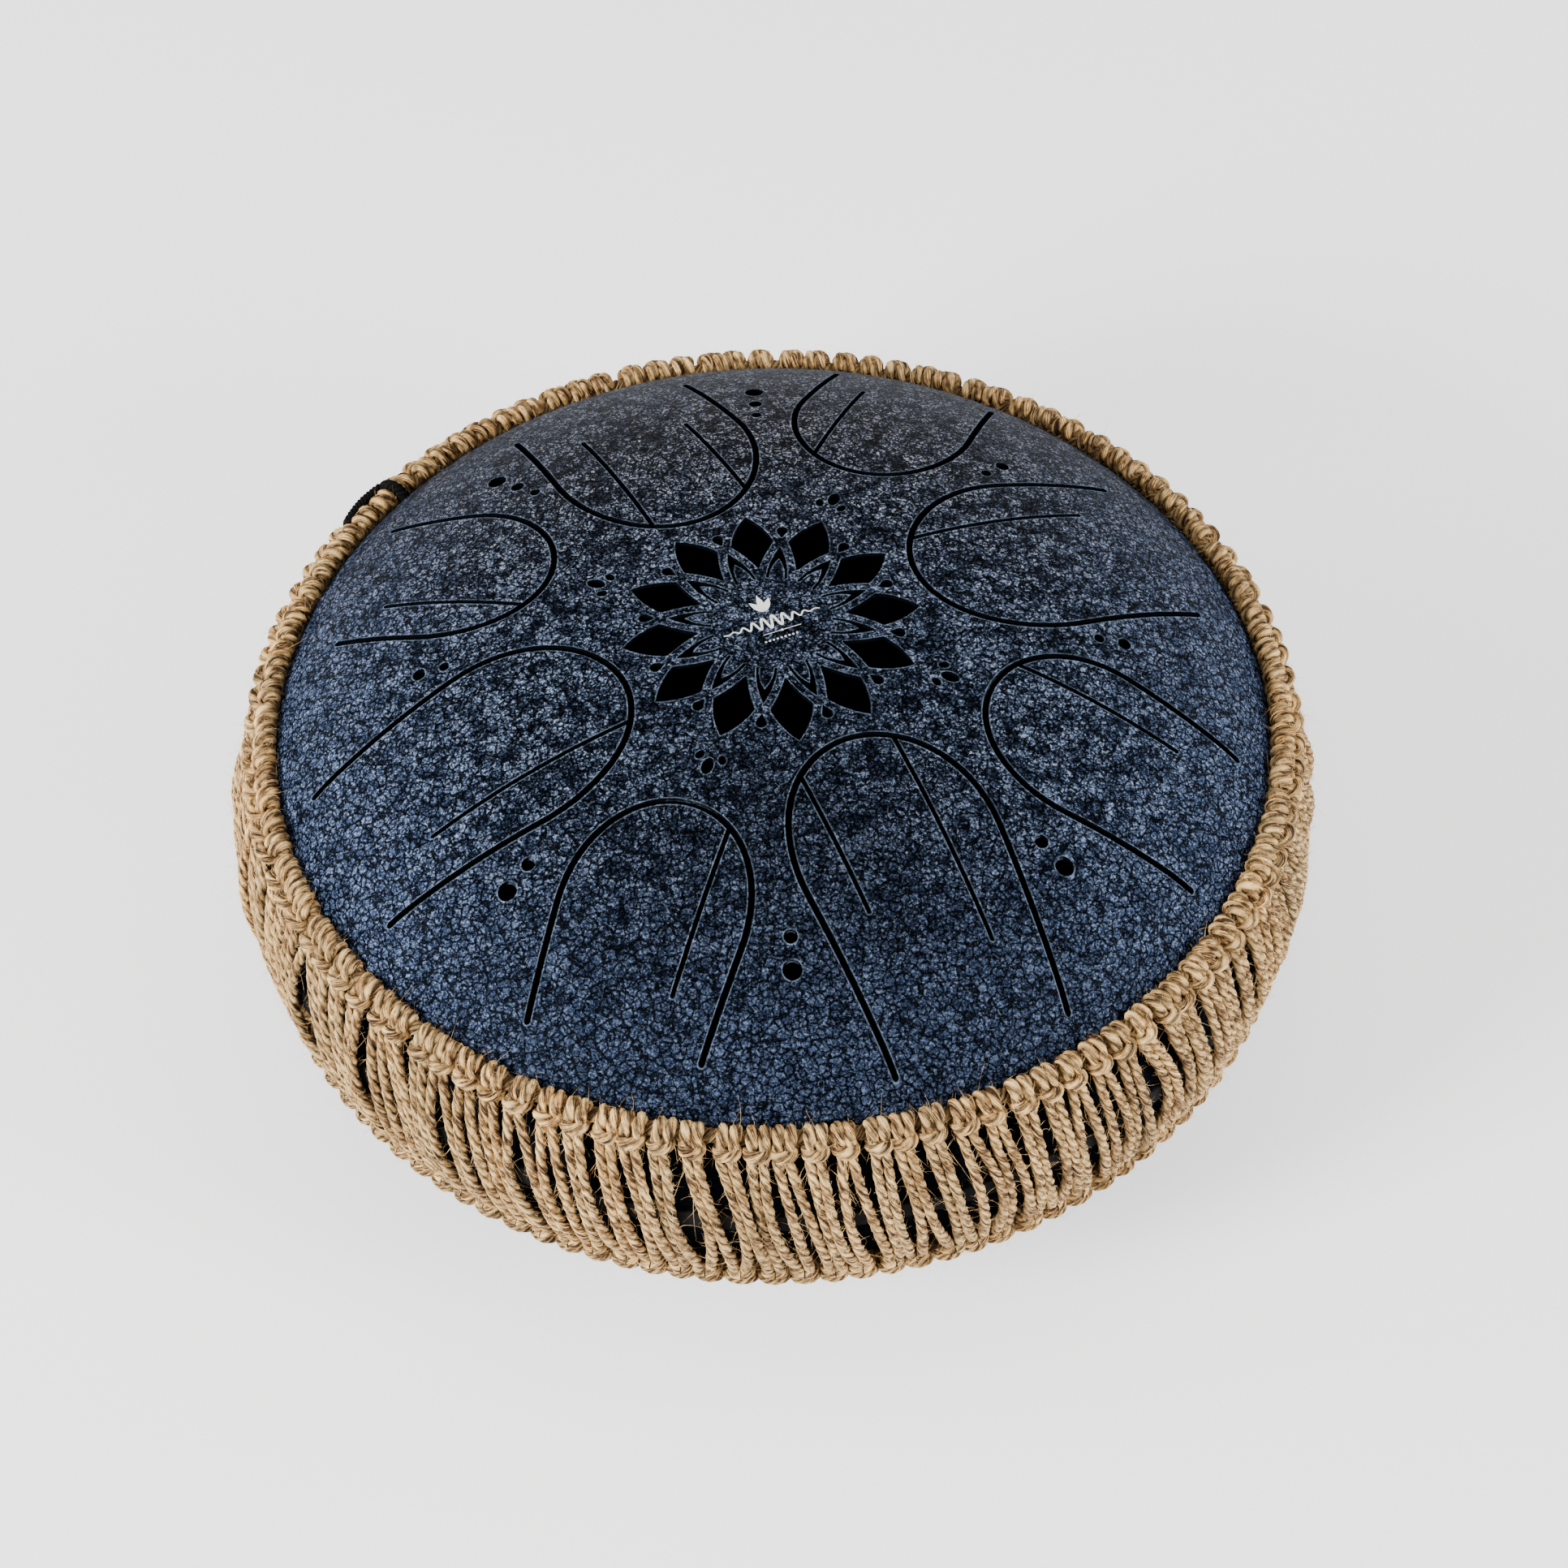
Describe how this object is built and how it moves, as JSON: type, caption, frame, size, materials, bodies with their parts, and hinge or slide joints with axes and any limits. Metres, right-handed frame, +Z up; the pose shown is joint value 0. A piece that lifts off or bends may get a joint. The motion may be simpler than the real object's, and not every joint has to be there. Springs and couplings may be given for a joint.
{
  "type": "steel tongue drum",
  "caption": "Round steel tongue drum with cut tongues, a cut rosette and a corded jute net around its seam, standing on small rubber feet.",
  "frame": {"origin": "on the resting plane, below the centre of the drum", "axes": "+Z up through the centre of the rosette; -Y towards the player, between the two front tongues"},
  "size_m": [0.4112, 0.4112, 0.208],
  "materials": {
    "shell_coat": "dark blue crackle powder coat",
    "jute": "natural jute twine",
    "foot_rubber": "matt black rubber",
    "band_rubber": "matt black rubber",
    "tie_cord": "black braided cord"
  },
  "bodies": {
    "root": {"bottom_core_rope": "jute", "foot_1": "foot_rubber", "foot_2": "foot_rubber", "foot_3": "foot_rubber", "foot_4": "foot_rubber", "lower_shell": "shell_coat", "net_cords_01": "jute", "net_cords_02": "jute", "net_cords_03": "jute", "net_cords_04": "jute", "net_cords_05": "jute", "net_cords_06": "jute", "net_cords_07": "jute", "net_cords_08": "jute", "net_cords_09": "jute", "net_cords_10": "jute", "net_cords_11": "jute", "net_cords_12": "jute", "net_cords_13": "jute", "net_cords_14": "jute", "net_cords_15": "jute", "net_cords_16": "jute", "ring_tie": "tie_cord", "seam_band": "band_rubber", "top_core_rope": "jute", "upper_shell": "shell_coat"}
  },
  "joints": []
}
